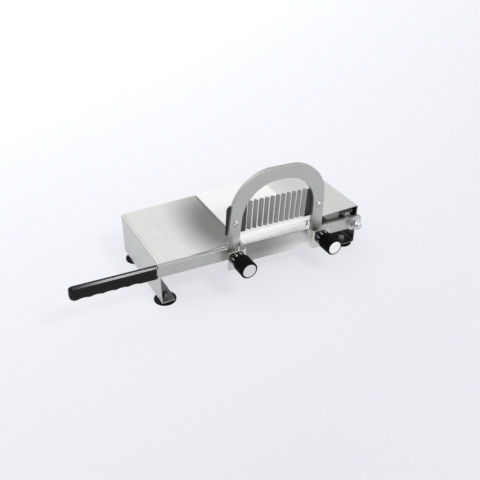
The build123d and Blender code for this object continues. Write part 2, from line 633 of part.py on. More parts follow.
# ---------------------------------------------------------------------------- thickness plate and knobs
def make_thickness_plate():
    """A folded strip before the arm: a middle part and two ears that stand forward round the studs."""
    x0 = STUD_AXES["left"] - EAR_OUTSIDE
    x1 = STUD_AXES["right"] + EAR_OUTSIDE
    width = EAR_OUTSIDE + EAR_INSIDE
    y_ear = EAR_FRONT + PLATE_SHEET / 2
    y_mid = PLATE_BACK - PLATE_SHEET / 2
    path = [
        (x0, y_ear), (x0 + width, y_ear), (x0 + width + EAR_SLOPE, y_mid),
        (x1 - width - EAR_SLOPE, y_mid), (x1 - width, y_ear), (x1, y_ear),
    ]
    low = PLATE_RISE - PLATE_HEIGHT
    plate = extrude(Pos(0, 0, low) * folded(path, PLATE_SHEET, FOLD_RADIUS), amount=PLATE_HEIGHT)
    ends = plate.edges().filter_by(Axis.Y)
    ends = [e for e in ends if min(abs(e.center().X - x0), abs(e.center().X - x1)) < 0.01]
    plate = fillet(ends, PLATE_END_ROUND)
    for x in STUD_AXES.values():
        plate -= rod_y(SLEEVE_RADIUS + RUNNING_GAP, EAR_FRONT - 1, EAR_BACK + 1, x, STUD_RISE)
    return plate


def make_knob_sleeve(x):
    """The brass core of a knob: it turns in the ear and runs on the stud's thread."""
    front = GRIP_FACE + CAP_DEPTH + 2.0
    bore_end = front + 2.0
    hole = STUD_RADIUS + RUNNING_GAP
    outline = [
        (hole, SLEEVE_BACK), (SLEEVE_RADIUS, SLEEVE_BACK), (SLEEVE_RADIUS, front), (0, front),
        (0, bore_end), (hole, bore_end),
    ]
    return turned_y(outline, x, STUD_RISE)


def make_retaining_ring(x):
    """A ring on the sleeve behind the ear, which keeps the knob in the plate."""
    start = EAR_BACK + SEAT_GAP
    return ring_y(SLEEVE_RADIUS, SLEEVE_RADIUS + 2.5, start, start + RETAINER_THICKNESS, x, STUD_RISE)


def make_scale_ring(x):
    """The smooth collar with the scale, between ear and grip."""
    edge = 0.8
    outline = [
        (SLEEVE_RADIUS, KNOB_BACK), (SCALE_RADIUS, KNOB_BACK), (SCALE_RADIUS, GRIP_BACK + edge),
        (SCALE_RADIUS - edge, GRIP_BACK), (SLEEVE_RADIUS, GRIP_BACK),
    ]
    return turned_y(outline, x, STUD_RISE)


def make_knob_grip(x):
    """The fluted grip, with a round pocket in its end for the cap."""
    flute = pi * KNOB_RADIUS / FLUTES * 0.62
    section = Circle(KNOB_RADIUS)
    section -= PolarLocations(KNOB_RADIUS + flute * 0.55, FLUTES) * Circle(flute)
    shaft = slab(section, GRIP_FACE, GRIP_BACK)
    blank = turned_y(
        [
            (SLEEVE_RADIUS, GRIP_BACK), (KNOB_RADIUS - 1.2, GRIP_BACK), (KNOB_RADIUS, GRIP_BACK - 1.2),
            (KNOB_RADIUS, GRIP_FACE + 1.2), (KNOB_RADIUS - 1.2, GRIP_FACE), (CAP_RADIUS, GRIP_FACE),
            (CAP_RADIUS, GRIP_FACE + CAP_DEPTH), (0, GRIP_FACE + CAP_DEPTH),
            (0, GRIP_FACE + CAP_DEPTH + 2.0), (SLEEVE_RADIUS, GRIP_FACE + CAP_DEPTH + 2.0),
        ]
    )
    return Pos(x, 0, STUD_RISE) * (shaft & blank)


def make_knob_cap(x):
    """The pale disc in the end of the grip."""
    face = GRIP_FACE - CAP_PROUD
    edge = 0.5
    outline = [
        (0, GRIP_FACE + CAP_DEPTH), (CAP_RADIUS, GRIP_FACE + CAP_DEPTH), (CAP_RADIUS, face + edge),
        (CAP_RADIUS - edge, face), (0, face),
    ]
    return turned_y(outline, x, STUD_RISE)


# ---------------------------------------------------------------------------- assembly
def build():
    """All nodes by name, still measured from the bench's corner."""
    nodes = {
        "bench": make_bench(),
        "cutting_board": make_board(),
        "board_screws": make_board_screws(),
        "pivot_bracket": make_bracket(),
        "bracket_cleat": make_cleat(),
        "bracket_bolt": make_bracket_bolt(),
        "bracket_nut": make_bracket_nut(),
        "bracket_side_screws": make_side_screws(),
        "bracket_side_nuts": make_side_nuts(),
        "pivot_pin": make_pivot_pin(),
        "pivot_spacer": make_pivot_spacer(),
        "pivot_washer": make_pivot_washer(),
        "acorn_nut": make_acorn_nut(),
        "foot_studs": make_foot_studs(),
        "foot_nuts": make_foot_nuts(),
    }
    for name, (x, y) in FOOT_PLACES.items():
        nodes["foot_" + name] = make_foot(x, y)
    arm = {
        "arm_frame": make_arm_frame(),
        "pivot_bush": make_pivot_bush(),
        "handle_grip": make_handle_grip(),
        "wave_blade": make_wave_blade(),
        "blade_screws": make_blade_screws(),
        "blade_nuts": make_blade_nuts(),
        "thickness_plate": make_thickness_plate(),
    }
    for side, x in STUD_AXES.items():
        arm[side + "_stud"] = make_stud(side)
        arm[side + "_knob_sleeve"] = make_knob_sleeve(x)
        arm[side + "_retaining_ring"] = make_retaining_ring(x)
        arm[side + "_scale_ring"] = make_scale_ring(x)
        arm[side + "_knob_grip"] = make_knob_grip(x)
        arm[side + "_knob_cap"] = make_knob_cap(x)
    for name, shape in arm.items():
        pieces = shape if isinstance(shape, list) else [shape]
        nodes[name] = [arm_place() * piece for piece in pieces]
    return nodes


def solids_of(shape):
    """The separate solids of a node, however it was made."""
    pieces = shape if isinstance(shape, list) else [shape]
    return [solid for piece in pieces for solid in piece.solids()]


nodes = {name: solids_of(shape) for name, shape in build().items()}
box = Compound(children=[s for solids in nodes.values() for s in solids]).bounding_box()
to_origin = Pos(-(box.min.X + box.max.X) / 2, -(box.min.Y + box.max.Y) / 2, -box.min.Z)
for name, solids in nodes.items():
    export_step(Compound(children=[to_origin * solid for solid in solids]), "parts/" + name + ".step")
print("origin at", round(-to_origin.position.X, 3), round(-to_origin.position.Y, 3), round(-to_origin.position.Z, 3))
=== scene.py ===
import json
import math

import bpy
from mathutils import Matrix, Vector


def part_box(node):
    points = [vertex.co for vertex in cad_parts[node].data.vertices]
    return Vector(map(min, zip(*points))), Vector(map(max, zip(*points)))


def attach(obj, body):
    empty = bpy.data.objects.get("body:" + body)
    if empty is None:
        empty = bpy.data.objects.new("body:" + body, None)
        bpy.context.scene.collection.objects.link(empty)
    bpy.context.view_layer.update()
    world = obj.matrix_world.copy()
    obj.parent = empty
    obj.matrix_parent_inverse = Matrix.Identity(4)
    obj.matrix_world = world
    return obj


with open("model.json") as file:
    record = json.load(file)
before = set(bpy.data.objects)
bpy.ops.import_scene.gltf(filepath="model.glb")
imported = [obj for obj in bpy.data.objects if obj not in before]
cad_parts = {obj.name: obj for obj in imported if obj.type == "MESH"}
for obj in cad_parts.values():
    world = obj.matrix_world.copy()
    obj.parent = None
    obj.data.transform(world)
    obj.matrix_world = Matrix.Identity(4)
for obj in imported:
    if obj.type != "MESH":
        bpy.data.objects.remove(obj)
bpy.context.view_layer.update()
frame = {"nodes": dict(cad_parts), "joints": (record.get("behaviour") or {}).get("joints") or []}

# %% [markdown]
# A bench-top potato slicer with a waved blade. Nearly all of it is sheet metal, turned steel and
# moulded plastic, so its shapes come ready from the CAD model. What Blender adds is what the hand
# and the eye meet: how each metal was brushed, ground or polished, how the plastics were moulded,
# and the small printed scales on the two knobs. Every size below is in metres, in the CAD model's
# own frame: X runs from the handle to the pivot, Y from the knobs to the back, and Z up.

MM = 0.001
nodes = frame["nodes"]
joints = {joint["name"]: joint for joint in frame["joints"]}
bpy.ops.object.select_all(action="DESELECT")


# %% [markdown]
# Colours are written as the hex values that a paint chart or a screen shows. Cycles works with
# linear light, so one function turns each of them. Another small function adds a node to a
# material, sets its sockets and links them, which keeps each recipe below short enough to read in
# one go. Many finishes are a plain tone times several shades, such as wear, painted shade and
# painted light, so a third function joins any number of shades into one.

# %% Colour and node helpers
def paint(hex_colour):
    """A linear RGBA colour from an sRGB hex value."""
    parts = [int(hex_colour[i:i + 2], 16) / 255 for i in (1, 3, 5)]
    linear = [p / 12.92 if p <= 0.04045 else ((p + 0.055) / 1.055) ** 2.4 for p in parts]
    return (*linear, 1.0)


def add(material, kind, inputs=None, **settings):
    """Add a node. INPUTS holds, by socket, a value or another node's output to link."""
    node = material.node_tree.nodes.new(kind)
    for name, value in settings.items():
        setattr(node, name, value)
    for socket, value in (inputs or {}).items():
        if isinstance(value, bpy.types.NodeSocket):
            material.node_tree.links.new(value, node.inputs[socket])
        else:
            node.inputs[socket].default_value = value
    return node


def join_shades(material, how, shade, *others):
    """Join shades one by one: MULTIPLY lets each of them darken, MAXIMUM keeps the lightest."""
    for other in others:
        shade = add(material, "ShaderNodeMath", {0: shade, 1: other}, operation=how).outputs[0]
    return shade


def new_material(name):
    """An empty material, without any node yet."""
    material = bpy.data.materials.new(name)
    material.use_nodes = True
    material.node_tree.nodes.clear()
    return material


def finish_material(material, shader):
    """Link the last shader to the material's output."""
    add(material, "ShaderNodeOutputMaterial", {"Surface": shader.outputs[0]})
    return material


def dress(material, *names):
    """Give CAD nodes this material in place of their plain one."""
    for name in names:
        for slot in nodes[name].material_slots:
            slot.material = material
    print(material.name, "on", ", ".join(names))


# %% [markdown]
# The camera stands in front of the cutter, to its left and above it, with a lens of about 48 mm.
# Its direction is given by three angles, and the three axes that follow from them make its
# matrix. The Standard view shows each colour about as it is written.

# %% Camera
AZIMUTH, ELEVATION, ROLL = (math.radians(angle) for angle in (-29.16, 34.21, 0.59))
SENSOR_MM, LENS_MM = 36.0, 48.19575
CAMERA_PLACE = Vector((-356.715, -718.61, 599.65)) * MM
back = Vector((
    math.sin(AZIMUTH) * math.cos(ELEVATION),
    -math.cos(AZIMUTH) * math.cos(ELEVATION),
    math.sin(ELEVATION),
))
level = Vector((math.cos(AZIMUTH), math.sin(AZIMUTH), 0))
upright = back.cross(level)
right = level * math.cos(ROLL) + upright * math.sin(ROLL)
up = upright * math.cos(ROLL) - level * math.sin(ROLL)
camera_data = bpy.data.cameras.new("camera")
camera_data.sensor_width = SENSOR_MM
camera_data.lens = LENS_MM
camera_data.clip_start, camera_data.clip_end = 0.01, 50.0
camera = bpy.data.objects.new("camera", camera_data)
bpy.context.scene.collection.objects.link(camera)
turned = Matrix((right, up, back)).transposed().to_4x4()
camera.matrix_world = Matrix.Translation(CAMERA_PLACE) @ turned
bpy.context.scene.camera = camera
bpy.context.scene.view_settings.view_transform = "Standard"
print("lens", round(camera_data.lens, 2), "mm")

# %% [markdown]
# The floor is plain matt paint that runs to the horizon. It could be one white plane under strong
# lamps, but those would bleach the cutter. So it is painted twice: the rays that light the cutter
# meet a pale matt floor, while the camera, mirrors and glass see a darker paint with an even glow
# on top. The glow makes the background pale, gets a little lighter towards the back, and leaves
# the cutter's shadow visible.

# %% Floor
FLOOR_SIZE = 60
BACKWARDS = (-0.35, 0.94, 0)
GLOW_START, GLOW_END = -0.3, 1.3


def is_seen(material):
    """1 for rays from the camera, a mirror or a glass, 0 for the rays that light the object."""
    path = add(material, "ShaderNodeLightPath").outputs
    return join_shades(material, "MAXIMUM", path["Is Camera Ray"], path["Is Glossy Ray"],
                       path["Is Transmission Ray"])


bpy.ops.mesh.primitive_plane_add(size=FLOOR_SIZE, location=(0, 0, 0))
floor = bpy.context.object
floor.name = "floor"
floor_paint = new_material("matt_floor_paint")
plain = add(floor_paint, "ShaderNodeBsdfDiffuse", {"Color": paint("#EDEDF2"), "Roughness": 1.0})
shaded = add(floor_paint, "ShaderNodeBsdfDiffuse", {"Color": paint("#8B8B90"), "Roughness": 1.0})
away = add(floor_paint, "ShaderNodeTexCoord").outputs["Object"]
away = add(floor_paint, "ShaderNodeVectorMath", {0: away, 1: BACKWARDS}, operation="DOT_PRODUCT")
fade = add(floor_paint, "ShaderNodeMapRange",
           {0: away.outputs["Value"], 1: GLOW_START, 2: GLOW_END})
glow_colour = add(floor_paint, "ShaderNodeMix",
                  {0: fade.outputs[0], 6: paint("#CBCCD1"), 7: paint("#EDEDEE")}, data_type="RGBA")
glow = add(floor_paint, "ShaderNodeEmission", {"Color": glow_colour.outputs[2], "Strength": 1.0})
pale = add(floor_paint, "ShaderNodeAddShader", {0: shaded.outputs[0], 1: glow.outputs[0]})
finish_material(floor_paint, add(floor_paint, "ShaderNodeMixShader", {
    0: is_seen(floor_paint), 1: plain.outputs[0], 2: pale.outputs[0],
}))
floor.data.materials.append(floor_paint)
print("floor", FLOOR_SIZE, "m wide")

# %% [markdown]
# Brushed steel shows little of its own colour. It shows the room, so the room has to be calm and
# bright. An even white sky lights the cutter. Mirrors see it as a pale wall that is dimmer in one
# direction, where the person with the camera stands; without that dim part every steel face that
# looks at the camera would turn white. One large soft lamp hangs overhead, and a small one in
# front draws the highlights along the plastic edges.

# %% Sky and lamps
SKY_STRENGTH = 0.68
DIM_RIM, DIM_CORE, DIM_STRENGTH = 0.80, 0.97, 0.12
LIT_POINT = Vector((0, 0, 0.05))
world = bpy.data.worlds.new("studio")
bpy.context.scene.world = world
world.use_nodes = True
world.node_tree.nodes.clear()
soft_light = add(world, "ShaderNodeBackground",
                 {"Color": paint("#FFFFFF"), "Strength": SKY_STRENGTH})
side = add(world, "ShaderNodeTexCoord").outputs["Generated"]
side = add(world, "ShaderNodeVectorMath", {0: side, 1: back}, operation="DOT_PRODUCT")
wall_light = add(world, "ShaderNodeMapRange",
                 {0: side.outputs["Value"], 1: DIM_RIM, 2: DIM_CORE, 3: 1.0, 4: DIM_STRENGTH})
pale_wall = add(world, "ShaderNodeBackground",
                {"Color": paint("#FBFBFD"), "Strength": wall_light.outputs[0]})
sky = add(world, "ShaderNodeMixShader",
          {0: is_seen(world), 1: soft_light.outputs[0], 2: pale_wall.outputs[0]})
add(world, "ShaderNodeOutputWorld", {"Surface": sky.outputs[0]})


def soft_lamp(name, place, size, watts):
    """A square soft box at PLACE that looks at the middle of the cutter."""
    data = bpy.data.lights.new(name, "AREA")
    data.shape = "SQUARE"
    data.size = size
    data.energy = watts
    lamp = bpy.data.objects.new(name, data)
    bpy.context.scene.collection.objects.link(lamp)
    lamp.location = place
    lamp.rotation_euler = (Vector(place) - LIT_POINT).to_track_quat("Z", "Y").to_euler()
    print(name, size, "m wide,", watts, "W")


soft_lamp("overhead_lamp", (-0.45, 0.55, 1.55), size=1.3, watts=9.0)
soft_lamp("front_lamp", (0.296, -0.931, 1.203), size=0.25, watts=5.0)

# %% [markdown]
# Satin stainless steel gets its look from fine parallel scratches left by an abrasive belt. Each
# scratch is about 0.1 mm wide, far too fine to show at this distance, so it is drawn 1 mm wide
# and very faint. The scratches come from a noise pattern that is stretched along one direction:
# it turns the colour, the roughness and the bump a little at the same time. A second, cloudy
# noise stands for uneven wear by hands and cloths. The same recipe serves every brushed piece,
# with its own colour, direction and shading. An anisotropic shader could stretch the highlights
# instead, but it would show no single scratch.

# %% Recipe for brushed steel
CLOUD_SIZE, CLOUD_TONE = 38 * MM, 0.025
SCRATCH_DEPTH = 0.04 * MM


def brushed_steel(material, hex_colour, stroke_mm, roughness, shade=None, contrast=0.03,
                  matt=None, relief=0.15):
    """Fill a material with brushed steel.

    STROKE_MM is one scratch's size along X, Y and Z, CONTRAST how far it turns the colour, and
    RELIEF how strong its bump is. SHADE multiplies the colour and MATT adds to the roughness.
    """
    place = add(material, "ShaderNodeTexCoord").outputs["Object"]
    stretch = add(material, "ShaderNodeMapping",
                  {"Vector": place, "Scale": [1 / (mm * MM) for mm in stroke_mm]})
    strokes = add(material, "ShaderNodeTexNoise", {
        "Vector": stretch.outputs[0], "Scale": 1.0, "Detail": 3.0, "Roughness": 0.65,
    }).outputs["Fac"]
    clouds = add(material, "ShaderNodeTexNoise",
                 {"Vector": place, "Scale": 1 / CLOUD_SIZE, "Detail": 2.0}).outputs["Fac"]
    tone = add(material, "ShaderNodeMapRange",
               {0: strokes, 1: 0.25, 2: 0.75, 3: 1 - contrast, 4: 1 + contrast}).outputs[0]
    wear = add(material, "ShaderNodeMapRange",
               {0: clouds, 1: 0.3, 2: 0.7, 3: 1 - CLOUD_TONE, 4: 1 + CLOUD_TONE}).outputs[0]
    tone = join_shades(material, "MULTIPLY", tone, wear)
    if shade is not None:
        tone = join_shades(material, "MULTIPLY", tone, shade)
    colour = add(material, "ShaderNodeVectorMath", {0: paint(hex_colour)[:3], 3: tone},
                 operation="SCALE")
    rough = add(material, "ShaderNodeMapRange",
                {0: strokes, 1: 0.2, 2: 0.8, 3: roughness - 0.05, 4: roughness + 0.07}).outputs[0]
    if matt is not None:
        rough = join_shades(material, "ADD", rough, matt)
    bump = add(material, "ShaderNodeBump",
               {"Height": strokes, "Strength": relief, "Distance": SCRATCH_DEPTH})
    shader = add(material, "ShaderNodeBsdfPrincipled", {
        "Base Color": colour.outputs[0], "Metallic": 1.0, "Roughness": rough,
        "Normal": bump.outputs[0],
    })
    return finish_material(material, shader)


# %% [markdown]
# Wear and shade change over a piece, so three more helpers give a number for each point of it.
# The first changes smoothly along one axis, the second makes a soft spot, and the third draws a
# fine line across one axis. They read the piece's own coordinates in metres, so the shade stays
# on its piece when the arm moves.

# %% Shades that lie on a piece
def ramp_along(material, axis, start, end, low, high):
    """A smooth change from LOW at START to HIGH at END, in metres along one axis."""
    place = add(material, "ShaderNodeTexCoord").outputs["Object"]
    parts = add(material, "ShaderNodeSeparateXYZ", {0: place})
    change = add(material, "ShaderNodeMapRange",
                 {0: parts.outputs[axis], 1: start, 2: end, 3: low, 4: high},
                 interpolation_type="SMOOTHSTEP")
    return change.outputs[0]


def soft_patch(material, centre, radii, core, middle):
    """MIDDLE within the core of a soft ellipsoid, 1 past its rim. A radius of None has no end."""
    place = add(material, "ShaderNodeTexCoord").outputs["Object"]
    shrunk = add(material, "ShaderNodeMapping", {
        "Vector": place, "Location": [-c / r if r else 0 for c, r in zip(centre, radii)],
        "Scale": [1 / r if r else 0 for r in radii],
    })
    spread = add(material, "ShaderNodeVectorMath", {0: shrunk.outputs[0]}, operation="LENGTH")
    patch = add(material, "ShaderNodeMapRange",
                {0: spread.outputs["Value"], 1: core, 2: 1.0, 3: middle, 4: 1.0},
                interpolation_type="SMOOTHSTEP")
    return patch.outputs[0]


def fine_line(material, axis, centre, width, tone):
    """TONE on a line of this width across one axis, 1 elsewhere."""
    place = add(material, "ShaderNodeTexCoord").outputs["Object"]
    parts = add(material, "ShaderNodeSeparateXYZ", {0: place})
    on_line = add(material, "ShaderNodeMath", {0: parts.outputs[axis], 1: centre, 2: width / 2},
                  operation="COMPARE").outputs[0]
    return add(material, "ShaderNodeMapRange", {0: on_line, 3: 1.0, 4: tone}).outputs[0]


# %% [markdown]
# The bench is one folded stainless sheet. Its outside is brushed from front to back. Its inside
# is painted much darker, as painted shade for the shadow under the deck, apart from the lowest
# part, which gets painted light from the pale floor below, less of it towards the right. The
# left outer face is painted a little darker, as painted shade. Two ramps along X, one at each
# leg, and one along Z, just under the deck, tell inside from outside. A soft patch of painted
# shade darkens the deck beside the board, as a painted dark reflection of the arch's leg, and
# right of the board the sheet is painted a little darker, as painted shade. A fine line of
# painted shade beside each bend dims the highlight of the fold. One material for the whole
# sheet keeps the brushing unbroken over the folds.

# %% Bench
low_bench, high_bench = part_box("bench")
low_board, high_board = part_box("cutting_board")
SKIN, SKIN_FADE = 0.9 * MM, 0.2 * MM  # the outer part of the 1.5 mm sheet, and its soft limit
FOLD_RADIUS = 2.8 * MM
# Tones of painted shade, apart from the floor's, which is painted light.
LEFT_FACE_SHADE_TONE, INSIDE_SHADE_TONE = 0.83, 0.24
FLOOR_LIGHT_PAINT_TONE, FAR_FLOOR_SHARE = 0.62, 0.58
DECK_REFLECTION_TONE, RIGHT_DECK_SHADE_TONE = 0.29, 0.89
DECK_FOLD_SHADE_TONE, SIDE_FOLD_SHADE_TONE = 0.62, 0.72
left_skin, right_skin, top_skin = low_bench.x + SKIN, high_bench.x - SKIN, high_bench.z - SKIN
satin_sheet = new_material("satin_stainless_sheet")
# Painted shade: the left outer face a little darker, and the inside much darker.
left_face = ramp_along(satin_sheet, "X", left_skin, left_skin + SKIN_FADE, LEFT_FACE_SHADE_TONE, 0.0)
right_face = ramp_along(satin_sheet, "X", right_skin - SKIN_FADE, right_skin, 0.0, 1.0)
top_face = ramp_along(satin_sheet, "Z", top_skin - SKIN_FADE, top_skin, 0.0, 1.0)
# Painted light from the floor on the lowest inside part, less of it towards the right.
painted_floor_light = ramp_along(satin_sheet, "Z", 10 * MM, 45 * MM, FLOOR_LIGHT_PAINT_TONE, 0.0)
to_the_right = ramp_along(satin_sheet, "X", low_bench.x + 60 * MM, low_bench.x + 200 * MM,
                          1.0, FAR_FLOOR_SHARE)
painted_floor_light = join_shades(satin_sheet, "MULTIPLY", painted_floor_light, to_the_right)
inside_shade_and_light = join_shades(satin_sheet, "MAXIMUM", left_face, right_face, top_face, painted_floor_light,
                          INSIDE_SHADE_TONE)
# Painted shade: a dark reflection on the deck beside the board.
deck_reflection_middle = (low_board.x, low_bench.y + 50 * MM, 0)
painted_deck_reflection = soft_patch(satin_sheet, deck_reflection_middle, (85 * MM, 150 * MM, None), 0.28, DECK_REFLECTION_TONE)
# Painted shade on a fine line beside the folds, dimming their highlight.
deck_fold_shade = fine_line(satin_sheet, "X", low_bench.x + FOLD_RADIUS, 1.2 * MM, DECK_FOLD_SHADE_TONE)
side_fold_shade = fine_line(satin_sheet, "Z", high_bench.z - FOLD_RADIUS, 1.0 * MM, SIDE_FOLD_SHADE_TONE)
# Painted shade on the sheet right of the board.
right_deck_shade = ramp_along(satin_sheet, "X", high_board.x, high_board.x + 40 * MM,
                        1.0, RIGHT_DECK_SHADE_TONE)
sheet_tone = join_shades(satin_sheet, "MULTIPLY", inside_shade_and_light, painted_deck_reflection, deck_fold_shade, side_fold_shade,
                         right_deck_shade)
brushed_steel(satin_sheet, "#DDDDDA", stroke_mm=(1.0, 70, 1.0), roughness=0.32, shade=sheet_tone)
dress(satin_sheet, "bench")

# %% [markdown]
# The arm is cut from 6 mm plate and belt-ground along the bar, which leaves a duller and darker
# satin than the sheet's. Its cut edges are coarser and a little darker, and a ramp just behind
# its front face tells them apart. Above the left knob it is painted brighter, as painted light
# that lifts the knob's shadow and dark reflection. The pivot bracket is plain plate, ground
# upwards and darker still, so that it falls back behind the arm.

# %% Arm and bracket
EDGE_TONE, EDGE_MATT, LIGHT_PATCH_TONE = 0.80, 0.16, 1.9
LIGHT_PATCH_RISE, LIGHT_PATCH_RADIUS = 14 * MM, 17 * MM
ground_plate = new_material("belt_ground_plate")
arm_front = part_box("arm_frame")[0].y
cut_edge = ramp_along(ground_plate, "Y", arm_front + 0.1 * MM, arm_front + 0.3 * MM, 0.0, 1.0)
edge_tone = add(ground_plate, "ShaderNodeMapRange", {0: cut_edge, 3: 1.0, 4: EDGE_TONE}).outputs[0]
edge_matt = join_shades(ground_plate, "MULTIPLY", cut_edge, EDGE_MATT)
left_knob = joints["left_knob_turn"]["pos_m"]
# Painted light above the left knob, against its shadow and dark reflection.
painted_light_patch = soft_patch(ground_plate, (left_knob[0], 0, left_knob[2] + LIGHT_PATCH_RISE),
                       (LIGHT_PATCH_RADIUS, None, LIGHT_PATCH_RADIUS), 0.0, LIGHT_PATCH_TONE)
plate_tone = join_shades(ground_plate, "MULTIPLY", edge_tone, painted_light_patch)
brushed_steel(ground_plate, "#BEBEBA", stroke_mm=(60, 1.0, 1.0), roughness=0.34,
              shade=plate_tone, matt=edge_matt)
dress(ground_plate, "arm_frame")
bracket_plate = new_material("ground_bracket_plate")
brushed_steel(bracket_plate, "#8E8D8A", stroke_mm=(1.2, 1.2, 45), roughness=0.30, contrast=0.08)
dress(bracket_plate, "pivot_bracket", "bracket_cleat")

# %% [markdown]
# The arm stands 3.3 degrees off level at rest, and the blade and the thickness plate stand with
# it. A shade that follows one of them is simplest to write along and across the arm's bar, so one
# helper turns the coordinates back by that angle.

# %% Coordinates that lie level with the arm
TILT = math.radians(3.3)
pivot = Vector(joints["arm_lift"]["pos_m"])
pivot_along = pivot.x * math.cos(TILT) - pivot.z * math.sin(TILT)
pivot_height = pivot.x * math.sin(TILT) + pivot.z * math.cos(TILT)


def level_with_arm(material, axis):
    """How far each point lies along the arm's bar, for X, or how high beside it, for Z."""
    place = add(material, "ShaderNodeTexCoord").outputs["Object"]
    turned_back = add(material, "ShaderNodeMapping", {"Vector": place, "Rotation": (0, -TILT, 0)})
    return add(material, "ShaderNodeSeparateXYZ", {0: turned_back.outputs[0]}).outputs[axis]


print("pivot", round(pivot_along / MM, 1), "mm along and", round(pivot_height / MM, 1), "mm high")

# %% [markdown]
# The thickness plate is thin bright strip, rolled smooth rather than brushed, so its strokes are
# wide and barely there. Between the two ears its colour is painted darker at the left and a
# little brighter at the right, as painted shade and light, and its lower edge is painted
# brighter, as a painted reflection of the pale floor.

# %% Thickness plate
EAR_WIDTH, EAR_FADE = 29 * MM, 4 * MM
LEFT_SHADE_TONE, RIGHT_LIGHT_TONE, FLOOR_REFLECTION_TONE = 0.47, 1.06, 1.45
rolled_strip = new_material("bright_rolled_strip")
low_plate, high_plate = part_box("thickness_plate")
left_limit, right_limit = low_plate.x + EAR_WIDTH, high_plate.x - EAR_WIDTH
# Painted shade and light, darker at the left and brighter at the right.
left_to_right_shade = ramp_along(rolled_strip, "X", low_plate.x + 52 * MM, high_plate.x - 34 * MM,
                   LEFT_SHADE_TONE, RIGHT_LIGHT_TONE)
left_ear = ramp_along(rolled_strip, "X", left_limit, left_limit + EAR_FADE, 1.0, 0.0)
right_ear = ramp_along(rolled_strip, "X", right_limit - EAR_FADE, right_limit, 0.0, 1.0)
# Painted reflection of the pale floor along the lower edge.
painted_floor_reflection = add(rolled_strip, "ShaderNodeMapRange", {
    0: level_with_arm(rolled_strip, "Z"), 1: pivot_height - 19.5 * MM, 2: pivot_height - 2 * MM,
    3: FLOOR_REFLECTION_TONE, 4: 1.0,
}, interpolation_type="SMOOTHSTEP").outputs[0]
on_ear = join_shades(rolled_strip, "MAXIMUM", left_ear, right_ear)
painted_floor_reflection = add(rolled_strip, "ShaderNodeMix", {0: on_ear, 2: painted_floor_reflection, 3: 1.0}).outputs[0]
strip_tone = join_shades(rolled_strip, "MAXIMUM", left_to_right_shade, left_ear)
strip_tone = join_shades(rolled_strip, "MULTIPLY", strip_tone, painted_floor_reflection)
brushed_steel(rolled_strip, "#CFCEC9", stroke_mm=(30, 6.0, 6.0), roughness=0.28,
              shade=strip_tone, contrast=0.01, relief=0.01)
dress(rolled_strip, "thickness_plate")

# %% [markdown]
# The blade is hardened steel with pressed waves. The flat ends, clamped behind the legs of the
# arch, are painted dark, as painted shade for the arch's shadow and dark reflection. Counting
# the waves from the left end tells the waves from the flat ends. The fraction of that count is
# the place within one wave: one narrow flank of each wave is painted bright, as a painted
# highlight, and is matt, and the other flank is darker and smoother. The grinding runs up and
# down.

# %% Wave blade
WAVES, WAVE_PITCH = 11, 9.2 * MM
PIVOT_TO_WAVES = 195.6 * MM
BRIGHT_END, DARK_START, DARK_LIMIT = 0.20, 0.32, 0.95  # places within one wave
HIGHLIGHT_FLANK_TONE, DARK_FLANK_TONE, FLAT_END_SHADE_TONE = 3.25, 1.12, 0.26
BRIGHT_FLANK_MATT, DARK_FLANK_MATT = 0.34, 0.12
hardened = new_material("hardened_blade_steel")
first_wave = pivot_along - PIVOT_TO_WAVES
count = add(hardened, "ShaderNodeMath", {
    0: level_with_arm(hardened, "X"), 1: 1 / WAVE_PITCH, 2: -first_wave / WAVE_PITCH,
}, operation="MULTIPLY_ADD").outputs[0]
phase = add(hardened, "ShaderNodeMath", {0: count}, operation="FRACT").outputs[0]
past_ridge = add(hardened, "ShaderNodeMapRange",
                 {0: phase, 1: BRIGHT_END, 2: DARK_START}).outputs[0]
before_ridge = add(hardened, "ShaderNodeMapRange",
                   {0: phase, 1: DARK_LIMIT, 2: 1.0, 3: 1.0, 4: 0.0}).outputs[0]
dark_flank = join_shades(hardened, "MULTIPLY", past_ridge, before_ridge)
before = add(hardened, "ShaderNodeMath", {0: count, 1: 0.0}, operation="LESS_THAN").outputs[0]
beyond = add(hardened, "ShaderNodeMath", {0: count, 1: float(WAVES)},
             operation="GREATER_THAN").outputs[0]
flat_end = join_shades(hardened, "MAXIMUM", before, beyond)
# Painted highlight on one flank of each wave.
flank_highlight_tone = add(hardened, "ShaderNodeMapRange",
                 {0: dark_flank, 3: HIGHLIGHT_FLANK_TONE, 4: DARK_FLANK_TONE}).outputs[0]
# Painted shade on the flat ends.
blade_tone = add(hardened, "ShaderNodeMix",
                 {0: flat_end, 2: flank_highlight_tone, 3: FLAT_END_SHADE_TONE}).outputs[0]
flank_matt = add(hardened, "ShaderNodeMapRange",
                 {0: dark_flank, 3: BRIGHT_FLANK_MATT, 4: DARK_FLANK_MATT}).outputs[0]
brushed_steel(hardened, "#969693", stroke_mm=(2.0, 2.0, 40), roughness=0.26,
              shade=blade_tone, contrast=0.04, matt=flank_matt)
dress(hardened, "wave_blade")

# %% [markdown]
# Screws, nuts and pins are turned from bright bar. The lathe leaves rings too fine to see, so
# fine specks between two near greys and a low roughness are enough: they keep the heads from
# looking like plain paint. The same specks serve the plating, the caps and the print further
# down, so they are one helper.

# %% Turned steel
def speckled(material, grain_mm, dark, light, detail=2.0, fineness=0.5):
    """Specks of one grain's size: their strength, and a colour that wanders between two."""
    place = add(material, "ShaderNodeTexCoord").outputs["Object"]
    specks = add(material, "ShaderNodeTexNoise", {
        "Vector": place, "Scale": 1 / (grain_mm * MM), "Detail": detail, "Roughness": fineness,
    }).outputs["Fac"]
    colour = add(material, "ShaderNodeMix", {0: specks, 6: paint(dark), 7: paint(light)},
                 data_type="RGBA")
    return specks, colour.outputs[2]


